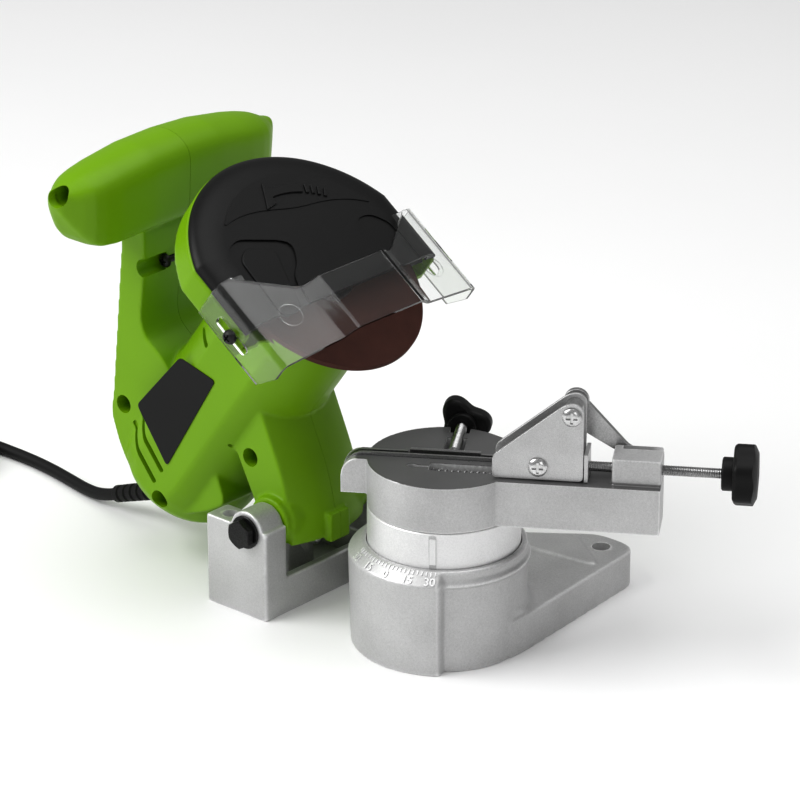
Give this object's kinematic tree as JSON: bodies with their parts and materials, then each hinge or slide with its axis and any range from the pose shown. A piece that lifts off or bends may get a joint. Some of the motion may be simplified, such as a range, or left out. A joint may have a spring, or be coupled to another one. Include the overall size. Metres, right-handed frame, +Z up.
{
  "type": "electric chainsaw sharpener",
  "caption": "Bench grinder for saw chain: a tilting motor head with a grinding disc and clear visor over a swivelling chain vise on a cast base.",
  "frame": {"origin": "middle of the machine, without its cord, on the bench", "axes": "+Z up, +X from the head hinge towards the vise, +Y along the hinge pin to its nut"},
  "size_m": [0.5857, 0.1972, 0.2185],
  "materials": {
    "green_shell": "satin",
    "black_plastic": "fine texture",
    "cast_aluminium": "bead blasted casting",
    "machined_steel": "zinc plated",
    "dark_steel": "black oxide",
    "winding_copper": "enamelled wire",
    "grinding_grit": "bonded abrasive",
    "cord_rubber": "matte",
    "clear_visor": "clear moulded polycarbonate"
  },
  "bodies": {
    "base": {"base_casting": "cast_aluminium", "pivot_bolt": "dark_steel", "pivot_washer_front": "machined_steel", "pivot_washer_rear": "machined_steel", "pivot_nut": "dark_steel", "power_cord": "cord_rubber", "cord_coil": "cord_rubber", "plug": "cord_rubber"},
    "depth_stop": {"depth_washer": "machined_steel"},
    "depth_turner": {"depth_screw": "machined_steel", "depth_knob": "black_plastic"},
    "head": {"housing_front": "green_shell", "housing_rear": "green_shell", "disc_cover": "black_plastic", "rating_plate": "black_plastic", "stator": "winding_copper", "brush_left": "winding_copper", "brush_right": "winding_copper", "bearing_front": "machined_steel", "bearing_rear": "machined_steel", "switch_body": "black_plastic", "strain_relief": "cord_rubber", "shell_screw_column": "dark_steel", "shell_screw_belly": "dark_steel", "shell_screw_back": "dark_steel", "shell_screw_stem": "dark_steel", "shell_screw_bar": "dark_steel", "visor_screw_left": "dark_steel", "visor_screw_right": "dark_steel"},
    "trigger": {"switch_trigger": "black_plastic"},
    "visor_sheet": {"visor": "clear_visor"},
    "rotor": {"rotor_shaft": "machined_steel", "grinding_disc": "grinding_grit", "inner_flange": "machined_steel", "outer_flange": "machined_steel", "arbor_nut": "dark_steel", "cooling_fan": "black_plastic", "armature": "winding_copper"},
    "vise": {"turntable_ring": "cast_aluminium", "vise_casting": "cast_aluminium", "swivel_stud": "machined_steel", "rail_front": "machined_steel", "rail_back_left": "machined_steel", "rail_back_right": "machined_steel", "vise_spring": "machined_steel"},
    "swivel_lock": {"lock_knob": "black_plastic"},
    "jaw": {"clamp_jaw": "machined_steel"},
    "clamp": {"clamp_screw": "machined_steel", "clamp_knob": "black_plastic"},
    "carriage": {"carriage_cheek_front": "cast_aluminium", "carriage_cheek_back": "cast_aluminium", "carriage_spacer_upper": "machined_steel", "carriage_spacer_lower": "machined_steel", "axle_screw": "machined_steel", "tie_screw": "machined_steel", "axle_nut": "machined_steel", "feed_plate": "cast_aluminium"},
    "chain_pawl": {"pawl": "machined_steel"},
    "feed": {"feed_screw": "machined_steel", "feed_knob": "black_plastic"}
  },
  "joints": [
    {"name": "head_tilt", "type": "hinge", "parent": "base", "child": "head", "pos_m": [-0.04372, -0.0165, 0.045], "axis": [0, 1, 0], "range_deg": [0, 27]},
    {"name": "depth_slide", "type": "slide", "parent": "base", "child": "depth_stop", "axis": [-0.9903, 0, -0.1392], "range_m": [0, 0.008]},
    {"name": "depth_turn", "type": "hinge", "parent": "depth_stop", "child": "depth_turner", "pos_m": [-0.03822, -0.0165, 0.0266], "axis": [-0.9903, 0, -0.1392], "range_deg": [0, 2880]},
    {"name": "trigger_press", "type": "slide", "parent": "head", "child": "trigger", "axis": [1, 0, 0], "range_m": [0, 0.003], "stiffness_N_per_m": 500, "springref_m": -0.001},
    {"name": "visor_shift", "type": "slide", "parent": "head", "child": "visor_sheet", "axis": [0.8073, 0, -0.5902], "range_m": [-0.008, 0.008]},
    {"name": "disc_spin", "type": "hinge", "parent": "head", "child": "rotor", "pos_m": [-0.03572, -0.0165, 0.1648], "axis": [0.5902, 0, 0.8073], "continuous": true},
    {"name": "vise_swivel", "type": "hinge", "parent": "base", "child": "vise", "pos_m": [0.04278, -0.0165, 0], "axis": [0, 0, 1], "range_deg": [-61, 2]},
    {"name": "lock_turn", "type": "hinge", "parent": "vise", "child": "swivel_lock", "pos_m": [0.04278, -0.0165, 0.01], "axis": [0, 0, 1], "range_deg": [-360, 0]},
    {"name": "jaw_close", "type": "slide", "parent": "vise", "child": "jaw", "axis": [0.5446, -0.8387, 0], "range_m": [0, 0.002]},
    {"name": "clamp_turn", "type": "hinge", "parent": "jaw", "child": "clamp", "pos_m": [0.0344, 0.00191, 0.0925], "axis": [0.5446, -0.8387, 0], "range_deg": [0, 720]},
    {"name": "carriage_slide", "type": "slide", "parent": "vise", "child": "carriage", "axis": [0.8387, 0.5446, 0], "range_m": [-0.008, 0.008]},
    {"name": "feed_turn", "type": "hinge", "parent": "carriage", "child": "feed", "pos_m": [0.13318, 0.0279, 0.0993], "axis": [0.8387, 0.5446, 0], "range_deg": [-3600, 3600]},
    {"name": "pawl_flip", "type": "hinge", "parent": "carriage", "child": "chain_pawl", "pos_m": [0.09528, 0.01759, 0.1274], "axis": [0.5446, -0.8387, 0], "range_deg": [0, 260]}
  ],
  "couplings": [
    {"joint": "depth_turn", "follows": "depth_slide", "rad_per_m": 6283.2},
    {"joint": "clamp_turn", "follows": "jaw_close", "rad_per_m": 6283.2},
    {"joint": "feed_turn", "follows": "carriage_slide", "rad_per_m": 7854}
  ]
}
